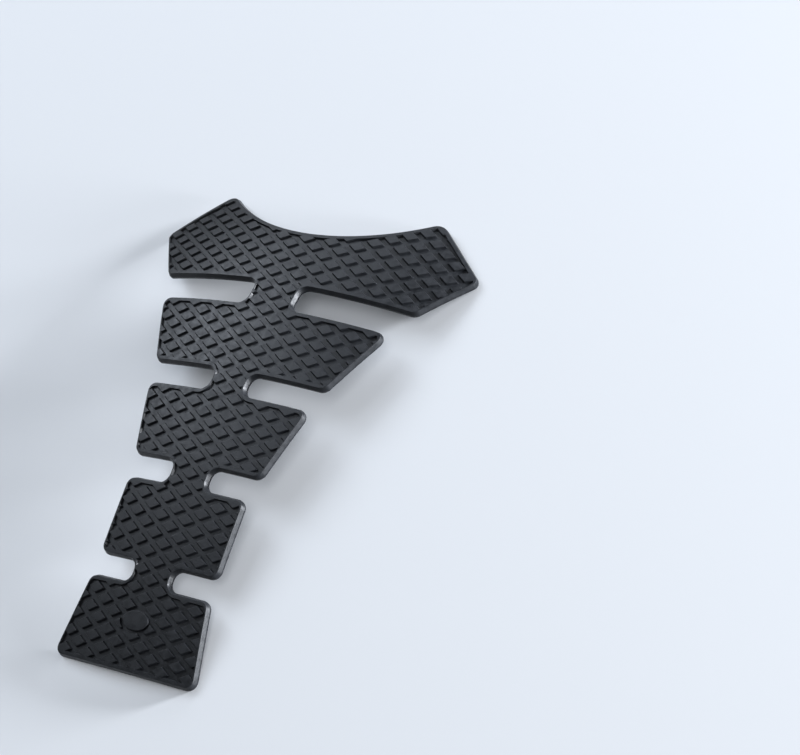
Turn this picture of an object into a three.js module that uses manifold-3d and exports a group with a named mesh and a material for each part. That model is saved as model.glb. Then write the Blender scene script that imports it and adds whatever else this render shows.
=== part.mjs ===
// A stick-on tank pad: one moulded rubber sheet with five segments on a common spine,
// a tread of raised diamonds inside a plain border, and a curve that follows a fuel tank.
// It is drawn flat (u across, v along the spine towards the head, w out of the back),
// then bent to its curve and set down on its four lowest corners.
// Millimetres, +Z up, X across, Y towards the head. The origin is under the middle of the pad.
import * as THREE from "three";
import { mergeVertices } from "three/addons/utils/BufferGeometryUtils.js";
import Module from "manifold-3d";

// Sheet
const THICKNESS = 2.8;
const EDGE_ROUND = 1.2;
const CORNER_RADIUS = 4.2;

// Head: a concave arc between two horns, and a side that comes to a point
const HEAD_ARC_LOW = 95.0;
const HEAD_ARC_RADIUS = 85;
const HORN = { halfWidth: 55.7, height: 115.7, radius: 5.5 };
const HEAD_POINT = { halfWidth: 84.8, height: 91.9, radius: 3.6 };
const HEAD_FOOT = { halfWidth: 66.4, height: 66.7 };

// Segments below the head, from the head down: half widths at their upper and lower edge
const SHOULDER = { top: 55.0, bottom: 22.2, halfTop: 60.6, halfBottom: 44.9 };
const WAIST = { top: 12.5, bottom: -21.0, halfTop: 42.6, halfBottom: 33.2 };
const HIP = { top: -30.7, bottom: -65.3, halfTop: 31.0, halfBottom: 31.0 };
const FOOT = { top: -74.2, bottom: -110.7, halfTop: 31.2, halfBottom: 37.4 };
const SEGMENTS = [SHOULDER, WAIST, HIP, FOOT];
// Half width of the spine in each slot, and the rounding of a slot's inner end
const NECKS = [11.9, 9.4, 9.9, 10.1];
const SLOT_RADIUS = 3.9;

// Tread: rhombic blocks between two families of grooves
const BLOCK_PITCH_U = 13;
const BLOCK_PITCH_V = 7.8;
const PATTERN_U = 0.25;
const PATTERN_V = -1.55;
const GROOVE_TOP = 2.8;
const GROOVE_FLOOR = 1.9;
const GROOVE_DEPTH = 1.0;
const BORDER = 2.35;

// Plain oval badge place on the lowest segment, inside its own groove
const OVAL = { v: -89.2, halfU: 6.6, halfV: 4.2, groove: 1.2 };

// Curve of the tank: its radius across, its radius along at the middle of the pad, and the
// length towards the head over which the curvature along it doubles
const CROSS_RADIUS = 272;
const SPINE_RADIUS = 513;
const SPINE_TIGHTENING = 140;

// Fineness of the mesh
const ARC_STEP = THREE.MathUtils.degToRad(24);
const HEAD_ARC_STEP = THREE.MathUtils.degToRad(6);
const OVAL_POINTS = 28;
const LONGEST_EDGE = 18;
const LEAST_RADIUS = 0.05;
const SPINE_STEPS = 20;
const LEVELLING_ROUNDS = 8;
// How far the body that cuts the pocket reaches above the sheet
const CUT_ABOVE = 0.5;

const wasm = await Module();
wasm.setup();

// A rounded corner of the outline. "turn" is +1 where the outline turns left (material
// inside the corner) and -1 where it turns right (the inner end of a slot).
function cornerArc(before, corner, after, radius) {
  const a = new THREE.Vector2(corner[0], corner[1]);
  const inward = new THREE.Vector2(before[0], before[1]).sub(a).normalize();
  const outward = new THREE.Vector2(after[0], after[1]).sub(a).normalize();
  const turn = Math.sign(outward.x * inward.y - outward.y * inward.x);
  const half = Math.acos(inward.dot(outward)) / 2;
  const middle = inward.clone().add(outward).normalize();
  const centre = a.addScaledVector(middle, radius / Math.sin(half));
  const facing = Math.atan2(-middle.y, -middle.x);
  const spread = Math.PI / 2 - half;
  return { centre, radius, turn, from: facing - turn * spread, to: facing + turn * spread };
}

// Right half of the outline as a list of arcs, from the foot up to the head.
function rightArcs() {
  const corners = [[0, FOOT.bottom, 0]];
  for (let i = SEGMENTS.length - 1; i >= 0; i--) {
    const s = SEGMENTS[i];
    const above = i ? SEGMENTS[i - 1].bottom : HEAD_FOOT.height;
    corners.push([s.halfBottom, s.bottom, CORNER_RADIUS]);
    corners.push([s.halfTop, s.top, CORNER_RADIUS]);
    corners.push([NECKS[i], s.top, SLOT_RADIUS]);
    corners.push([NECKS[i], above, SLOT_RADIUS]);
  }
  corners.push([HEAD_FOOT.halfWidth, HEAD_FOOT.height, CORNER_RADIUS]);
  corners.push([HEAD_POINT.halfWidth, HEAD_POINT.height, HEAD_POINT.radius]);
  corners.push([HORN.halfWidth, HORN.height, 0]);
  const arcs = [];
  for (let i = 1; i < corners.length - 1; i++) {
    arcs.push(cornerArc(corners[i - 1], corners[i], corners[i + 1], corners[i][2]));
  }
  return arcs;
}

// The horn's rounding touches the straight outer edge and the concave arc of the head.
function hornArc() {
  const tip = new THREE.Vector2(HORN.halfWidth, HORN.height);
  const point = new THREE.Vector2(HEAD_POINT.halfWidth, HEAD_POINT.height);
  const edge = tip.clone().sub(point).normalize();
  const normal = new THREE.Vector2(edge.y, -edge.x);
  const arcCentre = new THREE.Vector2(0, HEAD_ARC_LOW + HEAD_ARC_RADIUS);
  const onEdge = tip.addScaledVector(normal, -HORN.radius);
  const reach = HEAD_ARC_RADIUS + HORN.radius;
  const toLine = onEdge.clone().sub(arcCentre);
  const along = toLine.dot(edge);
  const back = Math.sqrt(reach * reach - toLine.lengthSq() + along * along);
  const centre = onEdge.addScaledVector(edge, -back - along);
  const touch = arcCentre.clone().sub(centre).angle();
  return { centre, radius: HORN.radius, turn: 1, from: normal.angle(), to: touch, arcCentre };
}

// All arcs, counter-clockwise. The concave arc of the head joins the two halves.
function outlineArcs() {
  const right = rightArcs();
  const horn = hornArc();
  right.push(horn);
  const end = horn.centre.clone().sub(horn.arcCentre).angle() - 2 * Math.PI;
  const head = {
    centre: horn.arcCentre,
    radius: HEAD_ARC_RADIUS,
    turn: -1,
    from: end,
    to: -Math.PI - end,
    step: HEAD_ARC_STEP,
  };
  const left = right
    .map((a) => ({
      centre: new THREE.Vector2(-a.centre.x, a.centre.y),
      radius: a.radius,
      turn: a.turn,
      from: Math.PI - a.to,
      to: Math.PI - a.from,
    }))
    .reverse();
  return [...right, head, ...left];
}

// Points of the outline moved inwards by "inset". Each arc keeps its centre and its number
// of points, so outlines at different insets match point for point.
function outline(inset) {
  const points = [];
  for (const a of outlineArcs()) {
    const step = a.step ?? ARC_STEP;
    const count = Math.max(2, Math.ceil(Math.abs(a.to - a.from) / step));
    const r = Math.max(a.radius - a.turn * inset, LEAST_RADIUS);
    for (let i = 0; i <= count; i++) {
      const t = a.from + ((a.to - a.from) * i) / count;
      points.push(new THREE.Vector2(a.centre.x + r * Math.cos(t), a.centre.y + r * Math.sin(t)));
    }
  }
  return points;
}

// Closed solid through rings of matching points. Each ring is { points, w }, lowest first.
function loft(rings) {
  const count = rings[0].points.length;
  const positions = [];
  for (const { points, w } of rings) {
    for (const p of points) positions.push(p.x, p.y, w);
  }
  const index = [];
  for (let k = 0; k < rings.length - 1; k++) {
    for (let i = 0; i < count; i++) {
      const a = k * count + i;
      const b = k * count + ((i + 1) % count);
      index.push(a, b, b + count, a, b + count, a + count);
    }
  }
  const bottom = THREE.ShapeUtils.triangulateShape(rings[0].points, []);
  for (const [a, b, c] of bottom) index.push(c, b, a);
  const last = (rings.length - 1) * count;
  const top = THREE.ShapeUtils.triangulateShape(rings.at(-1).points, []);
  for (const [a, b, c] of top) index.push(a + last, b + last, c + last);
  const geometry = new THREE.BufferGeometry();
  geometry.setAttribute("position", new THREE.Float32BufferAttribute(positions, 3));
  geometry.setIndex(index);
  return geometry;
}

function solid(geometry) {
  const bare = geometry.clone();
  bare.deleteAttribute("normal");
  bare.deleteAttribute("uv");
  const merged = mergeVertices(bare, 1e-4);
  return new wasm.Manifold(
    new wasm.Mesh({
      numProp: 3,
      vertProperties: merged.attributes.position.array,
      triVerts: new Uint32Array(merged.index.array),
    }),
  );
}

// The sheet without its tread: an upright wall and a rounded upper edge.
function sheet() {
  const chamfer = EDGE_ROUND * (1 - Math.SQRT1_2);
  return solid(
    loft([
      { points: outline(0), w: 0 },
      { points: outline(0), w: THICKNESS - EDGE_ROUND },
      { points: outline(chamfer), w: THICKNESS - chamfer },
      { points: outline(EDGE_ROUND), w: THICKNESS },
    ]),
  );
}

// One raised block of the tread: a rhombus with leaning sides, standing on the groove floor.
function block(u, v) {
  const slope = Math.atan2(BLOCK_PITCH_V, BLOCK_PITCH_U);
  const rhombus = (groove) => {
    const halfU = BLOCK_PITCH_U / 2 - groove / 2 / Math.sin(slope);
    const halfV = BLOCK_PITCH_V / 2 - groove / 2 / Math.cos(slope);
    return [[halfU, 0], [0, halfV], [-halfU, 0], [0, -halfV]].map(
      ([du, dv]) => new THREE.Vector2(u + du, v + dv),
    );
  };
  return loft([
    { points: rhombus(GROOVE_FLOOR), w: THICKNESS - GROOVE_DEPTH },
    { points: rhombus(GROOVE_TOP), w: THICKNESS },
  ]);
}

// Every block that lies inside the outline or reaches over it, in staggered rows.
function blocks() {
  const reach = new THREE.Box2().setFromPoints(outline(0)).expandByScalar(BLOCK_PITCH_U);
  const rows = Math.ceil(Math.max(-reach.min.y, reach.max.y) / BLOCK_PITCH_V) * 2;
  const columns = Math.ceil(reach.max.x / BLOCK_PITCH_U) + 1;
  const made = [];
  for (let row = -rows; row <= rows; row++) {
    for (let column = -columns; column <= columns; column++) {
      const u = PATTERN_U + (column + (row % 2 ? 0.5 : 0)) * BLOCK_PITCH_U;
      const v = PATTERN_V + (row * BLOCK_PITCH_V) / 2;
      if (reach.containsPoint(new THREE.Vector2(u, v))) made.push(solid(block(u, v)));
    }
  }
  return wasm.Manifold.compose(made);
}

// An upright oval body through the depth of the tread, leaning outwards by "lean" per mm.
function oval(halfU, halfV, lean, top) {
  const rise = top - (THICKNESS - GROOVE_DEPTH);
  const ring = (grow) =>
    Array.from({ length: OVAL_POINTS }, (_, i) => {
      const t = (i / OVAL_POINTS) * 2 * Math.PI;
      return new THREE.Vector2((halfU + grow) * Math.cos(t), OVAL.v + (halfV + grow) * Math.sin(t));
    });
  return solid(
    loft([
      { points: ring(0), w: top - rise },
      { points: ring(lean * rise), w: top },
    ]),
  );
}

// Everything that the tread takes out of the sheet: a pocket inside the border, less the
// blocks that stand in it. The oval has a ring of its own that the blocks stay clear of.
function tread() {
  const lean = (GROOVE_TOP - GROOVE_FLOOR) / 2 / GROOVE_DEPTH;
  const above = THICKNESS + CUT_ABOVE;
  const pocket = solid(
    loft([
      { points: outline(BORDER + lean * GROOVE_DEPTH), w: THICKNESS - GROOVE_DEPTH },
      { points: outline(BORDER - lean * CUT_ABOVE), w: above },
    ]),
  );
  const ring = oval(OVAL.halfU + OVAL.groove, OVAL.halfV + OVAL.groove, lean, above);
  const badge = oval(OVAL.halfU, OVAL.halfV, -lean, THICKNESS);
  return pocket.subtract(blocks().subtract(ring)).subtract(badge);
}

// Splits every edge longer than the limit at its middle, sharing the new point with the
// triangle on the other side, so that the bend comes out smooth.
function splitLongEdges(positions, triangles, limit) {
  const middles = new Map();
  const length = (a, b) => Math.hypot(...[0, 1, 2].map((k) => positions[3 * a + k] - positions[3 * b + k]));
  const middle = (a, b) => {
    const key = a < b ? a + "," + b : b + "," + a;
    if (!middles.has(key)) {
      middles.set(key, positions.length / 3);
      for (let k = 0; k < 3; k++) positions.push((positions[3 * a + k] + positions[3 * b + k]) / 2);
    }
    return middles.get(key);
  };
  const done = [];
  const open = [...triangles];
  while (open.length) {
    const t = open.pop();
    const sides = [0, 1, 2].map((k) => length(t[k], t[(k + 1) % 3]));
    const longest = sides.indexOf(Math.max(...sides));
    if (sides[longest] <= limit) {
      done.push(t);
      continue;
    }
    const [a, b, c] = [0, 1, 2].map((k) => t[(longest + k) % 3]);
    const m = middle(a, b);
    open.push([a, m, c], [m, b, c]);
  }
  return done;
}

// Direction of the spine at v: it leans further over towards the head.
function slope(v) {
  return -(v + (v * v) / (2 * SPINE_TIGHTENING)) / SPINE_RADIUS;
}

// Point of the spine at v, by Simpson's rule along the arc.
function spine(v) {
  let y = 0;
  let z = 0;
  for (let i = 0; i <= SPINE_STEPS; i++) {
    const weight = i === 0 || i === SPINE_STEPS ? 1 : i % 2 ? 4 : 2;
    const angle = slope((v * i) / SPINE_STEPS);
    y += weight * Math.cos(angle);
    z += weight * Math.sin(angle);
  }
  return [(y * v) / (3 * SPINE_STEPS), (z * v) / (3 * SPINE_STEPS)];
}

// Flat (u, v, w) to the curved pad: an arc across, carried along the spine.
function bend(u, v, w) {
  const across = u / CROSS_RADIUS;
  const out = (CROSS_RADIUS + w) * Math.cos(across) - CROSS_RADIUS;
  const [y, z] = spine(v);
  const lean = slope(v);
  return new THREE.Vector3(
    (CROSS_RADIUS + w) * Math.sin(across),
    y - Math.sin(lean) * out,
    z + Math.cos(lean) * out,
  );
}

// Turns the pad about X until its lowest points at the head and at the foot are level.
function level(points) {
  for (let i = 0; i < LEVELLING_ROUNDS; i++) {
    const lowest = (side) =>
      points.filter((p) => p.y * side > 0).reduce((a, b) => (b.z < a.z ? b : a)).clone();
    const head = lowest(1);
    const foot = lowest(-1);
    const angle = Math.atan2(foot.z - head.z, head.y - foot.y);
    const turn = new THREE.Matrix4().makeRotationX(angle);
    for (const p of points) p.applyMatrix4(turn);
  }
}

function tankPad() {
  const mesh = sheet().subtract(tread()).getMesh();
  const positions = [];
  for (let i = 0; i < mesh.numVert; i++) {
    for (let k = 0; k < 3; k++) positions.push(mesh.vertProperties[i * mesh.numProp + k]);
  }
  const triangles = [];
  for (let i = 0; i < mesh.triVerts.length; i += 3) triangles.push([...mesh.triVerts.slice(i, i + 3)]);
  const index = splitLongEdges(positions, triangles, LONGEST_EDGE).flat();

  const points = [];
  for (let i = 0; i < positions.length; i += 3) {
    points.push(bend(positions[i], positions[i + 1], positions[i + 2]));
  }
  level(points);
  const box = new THREE.Box3().setFromPoints(points);
  const middle = box.getCenter(new THREE.Vector3());
  for (const p of points) p.sub(new THREE.Vector3(middle.x, middle.y, box.min.z));

  const geometry = new THREE.BufferGeometry().setFromPoints(points);
  geometry.setIndex(index);
  geometry.computeVertexNormals();
  const pad = new THREE.Mesh(
    geometry,
    new THREE.MeshStandardMaterial({ color: 0x17181a, roughness: 0.75 }),
  );
  pad.name = "tank_pad";
  return pad;
}

const group = new THREE.Group();
group.add(tankPad());
export default group;
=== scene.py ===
"""A motorcycle tank pad of moulded rubber, set down on a plain pale floor.

The pad is drawn flat in millimetres (u across, v along the spine, w up), given its border,
tread and badge place, and then bent to the curve of a fuel tank. The finished mesh is in metres.
"""

import math

import bpy
from mathutils import Matrix, Vector


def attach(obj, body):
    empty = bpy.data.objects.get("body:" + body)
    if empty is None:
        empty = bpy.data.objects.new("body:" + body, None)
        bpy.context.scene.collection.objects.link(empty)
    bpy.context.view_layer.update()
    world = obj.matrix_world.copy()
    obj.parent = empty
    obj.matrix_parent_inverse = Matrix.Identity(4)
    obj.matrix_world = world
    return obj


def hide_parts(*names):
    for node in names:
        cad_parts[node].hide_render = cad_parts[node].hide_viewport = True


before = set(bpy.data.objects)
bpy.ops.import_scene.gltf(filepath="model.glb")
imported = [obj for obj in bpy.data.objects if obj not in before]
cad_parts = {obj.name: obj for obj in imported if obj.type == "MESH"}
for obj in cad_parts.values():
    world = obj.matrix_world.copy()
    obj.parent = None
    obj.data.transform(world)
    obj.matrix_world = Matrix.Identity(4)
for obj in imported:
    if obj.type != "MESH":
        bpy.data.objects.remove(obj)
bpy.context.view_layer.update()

MM = 0.001

# Sheet
THICKNESS = 2.8
# Bevel round the rim: its width in plan, its height, and the rounding of its upper edge
RIM_WIDTH = 0.85
RIM_HEIGHT = 1.8
RIM_ROUND = 0.12
CORNER_RADIUS = 4.2
SLOT_RADIUS = 3.9
CORNER_STEPS = 7

# Head: a concave arc between two horns, and a side that comes to a point
HEAD_ARC_LOW = 95.0
HEAD_ARC_RADIUS = 85.0
HEAD_ARC_STEPS = 40
HORN = (55.7, 115.7)
HORN_RADIUS = 5.5
HEAD_POINT = (84.8, 91.9)
HEAD_POINT_RADIUS = 3.6
HEAD_FOOT = (66.4, 66.7)

# Segments below the head: upper edge, lower edge, half width at each
SHOULDER = (55.0, 22.2, 60.6, 44.9)
WAIST = (12.5, -21.0, 42.6, 33.2)
HIP = (-30.7, -65.3, 31.0, 31.0)
FOOT = (-74.2, -110.7, 31.2, 37.4)
SEGMENTS = (SHOULDER, WAIST, HIP, FOOT)
# Half width of the spine in the slot above each segment
NECKS = (11.9, 9.4, 9.9, 10.1)

# Tread
PITCH_U = 13.0
PITCH_V = 7.8
PATTERN_U = 0.25
PATTERN_V = -1.55
GROOVE_TOP = 2.65
GROOVE_FLOOR = 1.9
GROOVE_DEPTH = 1.0
BLOCK_CORNER = 0.2
BLOCK_ROUND = 0.09
# How far the blocks reach down into the sheet
BLOCK_ROOT = 0.3
# Rows and columns of blocks that cover the whole plan
TREAD_ROWS = range(-32, 33)
TREAD_COLUMNS = range(-8, 9)
# Plain border round it: along edges that run across the pad, and along its sides
BORDER = 2.35
SIDE_BORDER = 1.4
# How far cut blocks reach into the border, so that the two join
TRIM_OVERLAP = 0.15

# Badge place: a plain oval disc in a ring groove
OVAL_V = -89.2
OVAL_HALF = (6.6, 4.2)
OVAL_GROOVE = 1.2
OVAL_ROUND = 0.4
OVAL_STEPS = 3
OVAL_POINTS = 56

# Curve of the tank, and the spacing of the cuts that let the mesh follow it
CROSS_RADIUS = 272.0
SPINE_RADIUS = 513.0
SPINE_TIGHTENING = 140.0
SPINE_STEPS = 20
CUT_SPACING = 6.5
LEVELLING_ROUNDS = 8

# Modelling: points nearer than these are one, and slivers thinner than the last are dropped
SAME_POINT = 0.01
PLAN_MERGE = 0.02
MESH_MERGE = 0.006
MESH_SLIVER = 0.002
# Point to one side of the pad, in millimetres: no two of the pad's points are equally far from it
SORT_POINT = (-310.7, -171.3, 59.1)
# Height of the unit normal above which a face counts as level
LEVEL = 0.9
BEVEL_STEPS = 2
# Degrees between two faces above which the edge between them is drawn sharp
SHARP_ANGLE = 22

# Rubber: its two tones and its roughness, which both follow the same soft patches
RUBBER_DARK = (0.0064, 0.0072, 0.0086, 1)
RUBBER_PALE = (0.0108, 0.0120, 0.0142, 1)
RUBBER_ROUGHNESS = (0.34, 0.50)
RUBBER_SPECULAR = 0.3
PATCH_SCALE = 420
PATCH_DETAIL = 4
PATCH_RANGE = (0.35, 0.65)
# Fine grain, with its depth in metres
GRAIN_SCALE = 1400
GRAIN_DETAIL = 3
GRAIN_STRENGTH = 0.6
GRAIN_DEPTH = 0.0001

# Lamps: direction in degrees, size in metres, power in watts and colour
LAMP_DISTANCE = 2.0
LAMPS = (
    ("back_soft", 151, 35, 0.8, 13.8, (0.90, 0.98, 1.10)),
    ("back_high", 154, 58, 0.8, 5.8, (0.90, 0.98, 1.10)),
    ("back_side", 120, 35, 0.7, 4.8, (0.90, 0.98, 1.10)),
    ("left_soft", 178, 36, 0.7, 1.5, (0.90, 0.98, 1.10)),
    ("low_side", 31, 5, 0.3, 130, (0.94, 0.98, 1.05)),
    ("low_front", 0, 5, 0.3, 45, (0.94, 0.98, 1.05)),
    ("low_back", 95, 10, 0.7, 14, (0.94, 0.98, 1.05)),
    ("front_fill", 335, 60, 1.0, 12, (0.96, 0.98, 1.02)),
)
ROOM_LIGHT = 0.08
ROOM_COLOUR = (0.95, 0.98, 1, 1)

# Floor: its width in metres, its colour and its roughness
FLOOR_WIDTH = 12
FLOOR_COLOUR = (0.68, 0.695, 0.71, 1)
FLOOR_ROUGHNESS = 0.9

# Camera: its place in millimetres, and its right and up directions
CAMERA_PLACE = (645.194, -315.903, 787.045)
CAMERA_RIGHT = (0.817176, 0.386895, -0.427242)
CAMERA_UP = (-0.146091, 0.856064, 0.495795)
CAMERA_LENS = 114.04
SENSOR_WIDTH = 36.0
CAMERA_REACH = 100


# Small helpers for modelling

def pick_only(obj):
    """Makes one object the selected and active one."""
    if bpy.context.object and bpy.context.object.mode != "OBJECT":
        bpy.ops.object.mode_set(mode="OBJECT")
    bpy.ops.object.select_all(action="DESELECT")
    obj.select_set(True)
    bpy.context.view_layer.objects.active = obj


def edit(obj, kind):
    """Opens an object in edit mode with nothing selected. Kind is VERT, EDGE or FACE."""
    pick_only(obj)
    bpy.ops.object.mode_set(mode="EDIT")
    bpy.ops.mesh.select_mode(type=kind)
    bpy.ops.mesh.select_all(action="DESELECT")
    bpy.ops.object.mode_set(mode="OBJECT")


def select_vertices(obj, wanted):
    """Opens an object in edit mode with the wanted vertices selected."""
    edit(obj, "VERT")
    for vertex in obj.data.vertices:
        vertex.select = wanted(vertex.co)
    bpy.ops.object.mode_set(mode="EDIT")


def select_edges(obj, wanted):
    """The same for edges, which are judged by their two ends."""
    edit(obj, "EDGE")
    points = obj.data.vertices
    for edge in obj.data.edges:
        a, b = (points[i].co for i in edge.vertices)
        edge.select = wanted(a, b)
    bpy.ops.object.mode_set(mode="EDIT")


def select_faces(obj, wanted):
    """The same for faces."""
    edit(obj, "FACE")
    for face in obj.data.polygons:
        face.select = wanted(face)
    bpy.ops.object.mode_set(mode="EDIT")


def on_top(a, b):
    """True for an edge that lies in the pad's upper face."""
    return min(a.z, b.z) > THICKNESS - SAME_POINT


def combine(body, other, how):
    """Joins, cuts or trims one body with another, which is used up."""
    pick_only(body)
    modifier = body.modifiers.new("combine", "BOOLEAN")
    modifier.operation = how
    modifier.solver = "MANIFOLD"
    modifier.object = other
    bpy.ops.object.modifier_apply(modifier="combine")
    bpy.data.objects.remove(other)
    in_order(body)


def in_order(obj):
    """Sorts the mesh by distance from a point to one side, so that every run gives the same mesh."""
    cursor = bpy.context.scene.cursor
    cursor.location = SORT_POINT
    select_faces(obj, lambda face: True)
    bpy.ops.mesh.sort_elements(type="CURSOR_DISTANCE", elements={"VERT", "EDGE", "FACE"})
    bpy.ops.object.mode_set(mode="OBJECT")
    cursor.location = (0, 0, 0)


def copy_of(obj, name):
    made = obj.copy()
    made.data = obj.data.copy()
    made.name = name
    bpy.context.scene.collection.objects.link(made)
    return made


# The pad's plan

def horn_corner(border):
    """Where the outer edge meets the tangent that the horn's rounding shares with the arc."""
    tip = Vector(HORN)
    along = (tip - Vector(HEAD_POINT)).normalized()
    outward = Vector((along.y, -along.x))
    arc_centre = Vector((0, HEAD_ARC_LOW + HEAD_ARC_RADIUS))
    start = tip - outward * HORN_RADIUS
    to_start = start - arc_centre
    reach = HEAD_ARC_RADIUS + HORN_RADIUS
    fall = to_start.dot(along)
    back = math.sqrt(reach ** 2 - to_start.length_squared + fall ** 2)
    centre = start + along * (-back - fall)
    radius = HORN_RADIUS - border
    on_edge = centre + outward * radius
    on_arc = centre + (arc_centre - centre).normalized() * radius
    # The two tangents meet on the line through the rounding's centre and their middle
    middle = (on_edge + on_arc) / 2 - centre
    corner = centre + middle * (radius ** 2 / middle.length_squared)
    return corner, on_arc


def inner_corner(before, corner, after, radius, border, side_border):
    """A corner and its radius, once the two edges have moved inwards by their borders."""
    first = (corner - before).normalized()
    second = (after - corner).normalized()
    near = border if abs(first.x) > abs(first.y) else side_border
    far = border if abs(second.x) > abs(second.y) else side_border
    turn = first.cross(second)
    moved = corner + (second * near - first * far) / turn
    return moved, radius - math.copysign((near + far) / 2, turn)


def right_corners(border, side_border):
    """Corners of the right half from the foot up, each with the radius that rounds it."""
    corners = []
    for i in reversed(range(len(SEGMENTS))):
        top, bottom, half_top, half_bottom = SEGMENTS[i]
        above = SEGMENTS[i - 1][1] if i else HEAD_FOOT[1]
        corners.append((Vector((half_bottom, bottom)), CORNER_RADIUS))
        corners.append((Vector((half_top, top)), CORNER_RADIUS))
        corners.append((Vector((NECKS[i], top)), SLOT_RADIUS))
        corners.append((Vector((NECKS[i], above)), SLOT_RADIUS))
    corners.append((Vector(HEAD_FOOT), CORNER_RADIUS))
    corners.append((Vector(HEAD_POINT), HEAD_POINT_RADIUS))
    places = [mirrored(corners[0][0])] + [place for place, _ in corners] + [Vector(HORN)]
    moved = []
    for i, (place, radius) in enumerate(corners):
        moved.append(inner_corner(places[i], place, places[i + 2], radius, border, side_border))
    moved.append((horn_corner(border)[0], HORN_RADIUS - border))
    return moved


def mirrored(point):
    """The same point on the pad's left half."""
    return Vector((-point.x, point.y))


def extrude_to(point):
    """Draws an edge from the selected point to a new one."""
    obj = bpy.context.object
    bpy.ops.object.mode_set(mode="OBJECT")
    here = next(v.co.copy() for v in obj.data.vertices if v.select)
    bpy.ops.object.mode_set(mode="EDIT")
    step = Vector((point.x, point.y, 0)) - here
    bpy.ops.mesh.extrude_region_move(TRANSFORM_OT_translate={"value": step})


def pad_plan(name, border, side_border):
    """The outline, moved inwards by the borders, as one flat face with its corners rounded."""
    right = right_corners(border, side_border)
    on_arc = horn_corner(border)[1]
    route = [corner for corner, _ in right] + [on_arc]
    bpy.ops.mesh.primitive_plane_add(size=1)
    plan = bpy.context.object
    plan.name = name
    bpy.ops.object.mode_set(mode="EDIT")
    bpy.ops.mesh.select_mode(type="VERT")
    bpy.ops.mesh.select_all(action="SELECT")
    bpy.ops.mesh.merge(type="CENTER")
    bpy.ops.transform.translate(value=(route[0].x, route[0].y, 0))
    for point in route[1:]:
        extrude_to(point)
    centre = Vector((0, HEAD_ARC_LOW + HEAD_ARC_RADIUS, 0))
    spoke = Vector((on_arc.x, on_arc.y, 0)) - centre
    half_turn = math.atan2(spoke.x, -spoke.y)
    bpy.ops.mesh.spin(steps=HEAD_ARC_STEPS, angle=2 * half_turn, center=centre, axis=(0, 0, 1))
    for point in reversed(route[:-1]):
        extrude_to(mirrored(point))
    bpy.ops.mesh.select_all(action="SELECT")
    bpy.ops.mesh.remove_doubles(threshold=SAME_POINT)
    bpy.ops.mesh.edge_face_add()
    for i in range(len(right)):
        round_corner(plan, right, i, on_arc)
    bpy.ops.mesh.select_all(action="SELECT")
    bpy.ops.mesh.remove_doubles(threshold=PLAN_MERGE)
    bpy.ops.object.mode_set(mode="OBJECT")
    return plan


def round_corner(plan, right, i, on_arc):
    """Rounds one corner of the plan and its mirror image."""
    corner, radius = right[i]
    before = right[i - 1][0] if i else mirrored(corner)
    after = right[i + 1][0] if i + 1 < len(right) else on_arc
    half = (before - corner).angle(after - corner) / 2
    cut = radius / math.tan(half)
    for place in (corner, mirrored(corner)):
        spot = Vector((place.x, place.y, 0))
        select_vertices(plan, lambda co: (co - spot).length < PLAN_MERGE)
        bpy.ops.mesh.bevel(
            offset=cut, segments=CORNER_STEPS, affect="VERTICES", clamp_overlap=False
        )


# The sheet

def upright(plan, low, high):
    """Gives a flat plan its height."""
    select_faces(plan, lambda face: True)
    bpy.ops.mesh.normals_make_consistent(inside=False)
    bpy.ops.transform.translate(value=(0, 0, low))
    bpy.ops.mesh.extrude_region_move(TRANSFORM_OT_translate={"value": (0, 0, high - low)})
    bpy.ops.mesh.select_all(action="SELECT")
    bpy.ops.mesh.normals_make_consistent(inside=False)
    bpy.ops.object.mode_set(mode="OBJECT")


def sheet(plan):
    """The plan with its thickness and the bevel round its rim."""
    pad = copy_of(plan, "treaded_pad")
    upright(pad, 0, THICKNESS - RIM_HEIGHT)
    select_faces(pad, lambda face: face.normal.z > LEVEL)
    bpy.ops.mesh.inset(thickness=RIM_WIDTH, depth=RIM_HEIGHT, use_even_offset=True)
    select_edges(pad, on_top)
    bpy.ops.mesh.bevel(
        offset=RIM_ROUND, segments=BEVEL_STEPS, affect="EDGES", clamp_overlap=False
    )
    bpy.ops.object.mode_set(mode="OBJECT")
    return pad


def recess():
    """The body that is cut out for the tread. Its walls lean in towards the floor."""
    body = pad_plan("recess", BORDER, SIDE_BORDER)
    upright(body, THICKNESS, 2 * THICKNESS)
    select_faces(body, lambda face: face.normal.z < -LEVEL)
    lean = (GROOVE_TOP - GROOVE_FLOOR) / 2
    bpy.ops.mesh.inset(thickness=lean, depth=GROOVE_DEPTH, use_even_offset=True)
    bpy.ops.object.mode_set(mode="OBJECT")
    return body


def trim_body():
    """An upright body that ends just inside the border. The tread is cut off at it."""
    body = pad_plan("trim", BORDER - TRIM_OVERLAP, SIDE_BORDER - TRIM_OVERLAP)
    upright(body, 0, 2 * THICKNESS)
    return body


# The tread

def half_block(groove):
    """Half the width of a block that leaves a groove of this width to its neighbours."""
    across = math.hypot(PITCH_U, PITCH_V)
    return PITCH_U / 2 * (1 - groove * across / (PITCH_U * PITCH_V))


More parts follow.
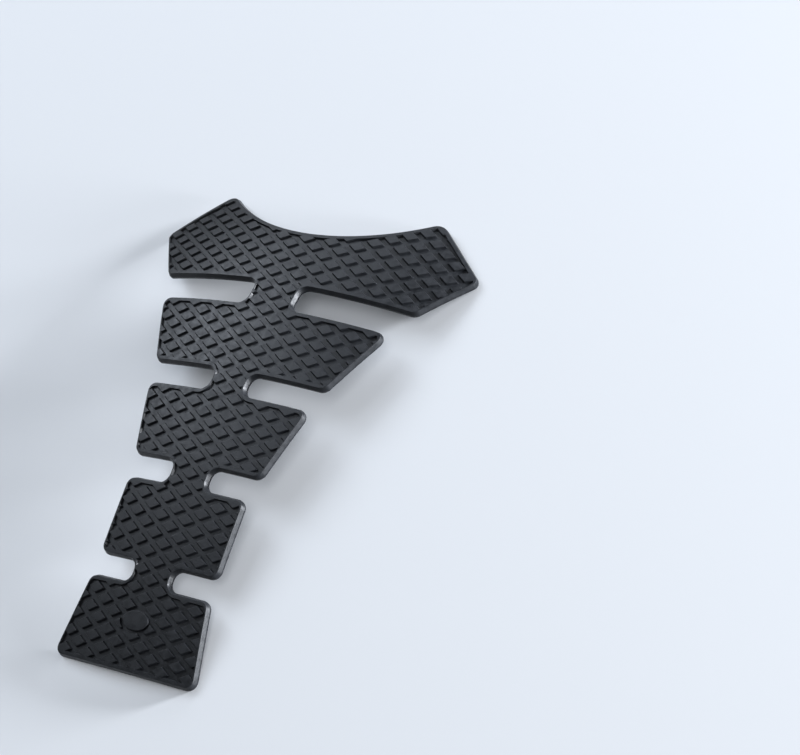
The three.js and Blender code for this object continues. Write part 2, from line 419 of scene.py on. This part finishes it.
def block():
    """One raised block: a rhombus with leaning sides, rounded corners and a soft upper edge."""
    lean = (GROOVE_TOP - GROOVE_FLOOR) / GROOVE_DEPTH
    root_groove = GROOVE_FLOOR - lean * BLOCK_ROOT
    depth = GROOVE_DEPTH + BLOCK_ROOT
    bpy.ops.mesh.primitive_cone_add(
        vertices=4,
        radius1=half_block(root_groove),
        radius2=half_block(GROOVE_TOP),
        depth=depth,
        location=(0, 0, THICKNESS - depth / 2),
    )
    made = bpy.context.object
    made.name = "block"
    bpy.ops.object.mode_set(mode="EDIT")
    bpy.ops.mesh.select_all(action="SELECT")
    bpy.ops.transform.resize(value=(1, PITCH_V / PITCH_U, 1))
    bpy.ops.object.mode_set(mode="OBJECT")
    bpy.ops.object.transform_apply(location=True, rotation=True, scale=True)
    select_edges(made, lambda a, b: abs(a.z - b.z) > BLOCK_ROOT)
    bpy.ops.mesh.bevel(offset=BLOCK_CORNER, segments=BEVEL_STEPS, affect="EDGES")
    select_edges(made, on_top)
    bpy.ops.mesh.bevel(offset=BLOCK_ROUND, segments=BEVEL_STEPS, affect="EDGES")
    bpy.ops.object.mode_set(mode="OBJECT")
    return made


def inside_plan(outline, point, margin):
    """True where a point is inside the outline or within the margin of it."""
    inside = False
    nearest = math.inf
    for a, b in zip(outline, outline[1:] + outline[:1]):
        if (a.y > point.y) != (b.y > point.y):
            crossing = a.x + (point.y - a.y) * (b.x - a.x) / (b.y - a.y)
            inside ^= point.x < crossing
        edge = b - a
        share = max(0, min(1, (point - a).dot(edge) / edge.length_squared))
        nearest = min(nearest, (point - a - edge * share).length)
    return inside or nearest < margin


def tread(plan):
    """Copies of the block in staggered rows, wherever they reach into the plan."""
    face = plan.data.polygons[0]
    outline = [plan.data.vertices[i].co.xy.copy() for i in face.vertices]
    model = block()
    copies = []
    for row in TREAD_ROWS:
        shift = 0.5 if row % 2 else 0
        v = PATTERN_V + row * PITCH_V / 2
        for column in TREAD_COLUMNS:
            place = Vector((PATTERN_U + (column + shift) * PITCH_U, v))
            if inside_plan(outline, place, PITCH_U / 2 - SIDE_BORDER):
                made = copy_of(model, "block_copy")
                made.data.transform(Matrix.Translation((place.x, place.y, 0)))
                copies.append(made)
    bpy.data.objects.remove(model)
    pick_only(copies[0])
    for made in copies:
        made.select_set(True)
    bpy.ops.object.join()
    return bpy.context.object


def oval_body(half_u, half_v, low, high, name):
    """An upright oval body at the badge place."""
    bpy.ops.mesh.primitive_cylinder_add(
        vertices=OVAL_POINTS, radius=1, depth=high - low, location=(0, OVAL_V, (low + high) / 2)
    )
    made = bpy.context.object
    made.name = name
    bpy.ops.object.mode_set(mode="EDIT")
    bpy.ops.mesh.select_all(action="SELECT")
    bpy.ops.transform.resize(value=(half_u, half_v, 1))
    bpy.ops.object.mode_set(mode="OBJECT")
    bpy.ops.object.transform_apply(location=True, rotation=True, scale=True)
    return made


def badge():
    """The plain oval disc, with a soft upper edge."""
    low = THICKNESS - GROOVE_DEPTH - BLOCK_ROOT
    made = oval_body(OVAL_HALF[0], OVAL_HALF[1], low, THICKNESS, "badge")
    select_edges(made, on_top)
    bpy.ops.mesh.bevel(offset=OVAL_ROUND, segments=OVAL_STEPS, affect="EDGES")
    bpy.ops.object.mode_set(mode="OBJECT")
    return made


# The curve

def slope(v):
    """Angle of the spine at v, in radians. It falls away faster towards the head."""
    return -(v + v * v / (2 * SPINE_TIGHTENING)) / SPINE_RADIUS


def spine(v):
    """Point of the spine at v, by Simpson's rule along the arc."""
    y = z = 0.0
    for i in range(SPINE_STEPS + 1):
        weight = 1 if i in (0, SPINE_STEPS) else 4 if i % 2 else 2
        angle = slope(v * i / SPINE_STEPS)
        y += weight * math.cos(angle)
        z += weight * math.sin(angle)
    return y * v / (3 * SPINE_STEPS), z * v / (3 * SPINE_STEPS)


def bent(co):
    """Place in metres of a point of the flat pad, once it follows the tank."""
    across = co.x / CROSS_RADIUS
    out = (CROSS_RADIUS + co.z) * math.cos(across) - CROSS_RADIUS
    y, z = spine(co.y)
    lean = slope(co.y)
    x = (CROSS_RADIUS + co.z) * math.sin(across)
    return Vector((x, y - math.sin(lean) * out, z + math.cos(lean) * out)) * MM


def cut_across(obj, axis, low, high):
    """Cuts the mesh by evenly spaced planes so that it can follow the bend."""
    count = round((high - low) / CUT_SPACING)
    normal = Vector((0, 0, 0))
    normal[axis] = 1
    for i in range(1, count):
        place = normal * (low + (high - low) * i / count)
        bpy.ops.mesh.select_all(action="SELECT")
        bpy.ops.mesh.bisect(plane_co=place, plane_no=normal)


def bend_to_tank(obj):
    """Bends the flat pad, sets it level on its lowest corners and centres it."""
    select_faces(obj, lambda face: True)
    cut_across(obj, 0, -HEAD_POINT[0], HEAD_POINT[0])
    cut_across(obj, 1, FOOT[1], HORN[1])
    bpy.ops.mesh.select_all(action="SELECT")
    bpy.ops.mesh.remove_doubles(threshold=MESH_MERGE)
    bpy.ops.mesh.dissolve_degenerate(threshold=MESH_SLIVER)
    bpy.ops.mesh.select_all(action="SELECT")
    bpy.ops.mesh.quads_convert_to_tris(quad_method="BEAUTY", ngon_method="BEAUTY")
    bpy.ops.object.mode_set(mode="OBJECT")
    points = obj.data.vertices
    for vertex in points:
        vertex.co = bent(vertex.co)
    for _ in range(LEVELLING_ROUNDS):
        head = min((v.co.z, v.co.y) for v in points if v.co.y > 0)
        foot = min((v.co.z, v.co.y) for v in points if v.co.y < 0)
        angle = math.atan2(foot[0] - head[0], head[1] - foot[1])
        obj.data.transform(Matrix.Rotation(angle, 4, "X"))
    lows = [min(v.co[k] for v in points) for k in range(3)]
    highs = [max(v.co[k] for v in points) for k in range(3)]
    middle = Vector(((lows[0] + highs[0]) / 2, (lows[1] + highs[1]) / 2, lows[2]))
    obj.data.transform(Matrix.Translation(-middle))


# Materials

def black_rubber():
    """Satin moulded rubber, with a fine grain and faint patches of tone and sheen."""
    material = bpy.data.materials.new("black_rubber")
    material.use_nodes = True
    nodes = material.node_tree.nodes
    links = material.node_tree.links
    shader = nodes["Principled BSDF"]
    shader.inputs["Specular IOR Level"].default_value = RUBBER_SPECULAR
    place = nodes.new("ShaderNodeTexCoord")
    patches = nodes.new("ShaderNodeTexNoise")
    patches.inputs["Scale"].default_value = PATCH_SCALE
    patches.inputs["Detail"].default_value = PATCH_DETAIL
    links.new(place.outputs["Object"], patches.inputs["Vector"])
    tone = nodes.new("ShaderNodeValToRGB")
    tone.color_ramp.elements[0].position = PATCH_RANGE[0]
    tone.color_ramp.elements[0].color = RUBBER_DARK
    tone.color_ramp.elements[1].position = PATCH_RANGE[1]
    tone.color_ramp.elements[1].color = RUBBER_PALE
    links.new(patches.outputs["Fac"], tone.inputs["Fac"])
    links.new(tone.outputs["Color"], shader.inputs["Base Color"])
    sheen = nodes.new("ShaderNodeMapRange")
    sheen.inputs["From Min"].default_value = PATCH_RANGE[0]
    sheen.inputs["From Max"].default_value = PATCH_RANGE[1]
    sheen.inputs["To Min"].default_value = RUBBER_ROUGHNESS[0]
    sheen.inputs["To Max"].default_value = RUBBER_ROUGHNESS[1]
    links.new(patches.outputs["Fac"], sheen.inputs["Value"])
    links.new(sheen.outputs["Result"], shader.inputs["Roughness"])
    grain = nodes.new("ShaderNodeTexNoise")
    grain.inputs["Scale"].default_value = GRAIN_SCALE
    grain.inputs["Detail"].default_value = GRAIN_DETAIL
    links.new(place.outputs["Object"], grain.inputs["Vector"])
    bump = nodes.new("ShaderNodeBump")
    bump.inputs["Strength"].default_value = GRAIN_STRENGTH
    bump.inputs["Distance"].default_value = GRAIN_DEPTH
    links.new(grain.outputs["Fac"], bump.inputs["Height"])
    links.new(bump.outputs["Normal"], shader.inputs["Normal"])
    return material


def pale_floor():
    """Plain matt floor."""
    material = bpy.data.materials.new("pale_floor")
    material.use_nodes = True
    shader = material.node_tree.nodes["Principled BSDF"]
    shader.inputs["Base Color"].default_value = FLOOR_COLOUR
    shader.inputs["Roughness"].default_value = FLOOR_ROUGHNESS
    return material


# Stage

def floor():
    """The plane that the pad stands on."""
    bpy.ops.object.select_all(action="DESELECT")
    bpy.ops.mesh.primitive_plane_add(size=FLOOR_WIDTH, location=(0, 0, 0))
    made = bpy.context.object
    made.name = "floor"
    made.data.materials.append(pale_floor())


def lamp(name, azimuth, elevation, size, power, colour):
    """A square lamp that faces the pad from a direction in degrees."""
    data = bpy.data.lights.new(name, "AREA")
    data.energy = power
    data.size = size
    data.color = colour
    made = bpy.data.objects.new(name, data)
    turn, rise = math.radians(azimuth), math.radians(elevation)
    flat = LAMP_DISTANCE * math.cos(rise)
    made.location = (flat * math.cos(turn), flat * math.sin(turn), LAMP_DISTANCE * math.sin(rise))
    made.rotation_euler = (-made.location).to_track_quat("-Z", "Y").to_euler()
    bpy.context.scene.collection.objects.link(made)


def lighting():
    """All the lamps, and the faint light of the room."""
    for settings in LAMPS:
        lamp(*settings)
    world = bpy.data.worlds.new("room")
    bpy.context.scene.world = world
    world.use_nodes = True
    background = world.node_tree.nodes["Background"]
    background.inputs["Color"].default_value = ROOM_COLOUR
    background.inputs["Strength"].default_value = ROOM_LIGHT
    bpy.context.scene.view_settings.view_transform = "Standard"


def camera():
    """A camera at the photograph's place and angle."""
    data = bpy.data.cameras.new("camera")
    data.lens = CAMERA_LENS
    data.sensor_width = SENSOR_WIDTH
    data.clip_end = CAMERA_REACH
    made = bpy.data.objects.new("camera", data)
    right = Vector(CAMERA_RIGHT)
    up = Vector(CAMERA_UP)
    back = right.cross(up)
    turn = Matrix((right, up, back)).transposed().to_4x4()
    made.matrix_world = Matrix.Translation(Vector(CAMERA_PLACE) * MM) @ turn
    bpy.context.scene.collection.objects.link(made)
    bpy.context.scene.camera = made


def treaded_pad():
    """The whole pad: sheet, tread and badge disc in one closed mesh."""
    bpy.ops.object.select_all(action="DESELECT")
    plan = pad_plan("plan", 0, 0)
    pad = sheet(plan)
    combine(pad, recess(), "DIFFERENCE")
    blocks = tread(plan)
    combine(blocks, trim_body(), "INTERSECT")
    ring_u, ring_v = OVAL_HALF[0] + OVAL_GROOVE, OVAL_HALF[1] + OVAL_GROOVE
    ring = oval_body(ring_u, ring_v, 0, 2 * THICKNESS, "ring")
    combine(blocks, ring, "DIFFERENCE")
    combine(pad, blocks, "UNION")
    combine(pad, badge(), "UNION")
    bpy.data.objects.remove(plan)
    bend_to_tank(pad)
    pick_only(pad)
    bpy.ops.object.shade_smooth_by_angle(angle=math.radians(SHARP_ANGLE))
    weighted = pad.modifiers.new("weighted", "WEIGHTED_NORMAL")
    weighted.keep_sharp = True
    bpy.ops.object.modifier_apply(modifier="weighted")
    pad.data.materials.clear()
    pad.data.materials.append(black_rubber())
    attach(pad, "root")
    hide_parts("tank_pad")


camera()
treaded_pad()
floor()
lighting()
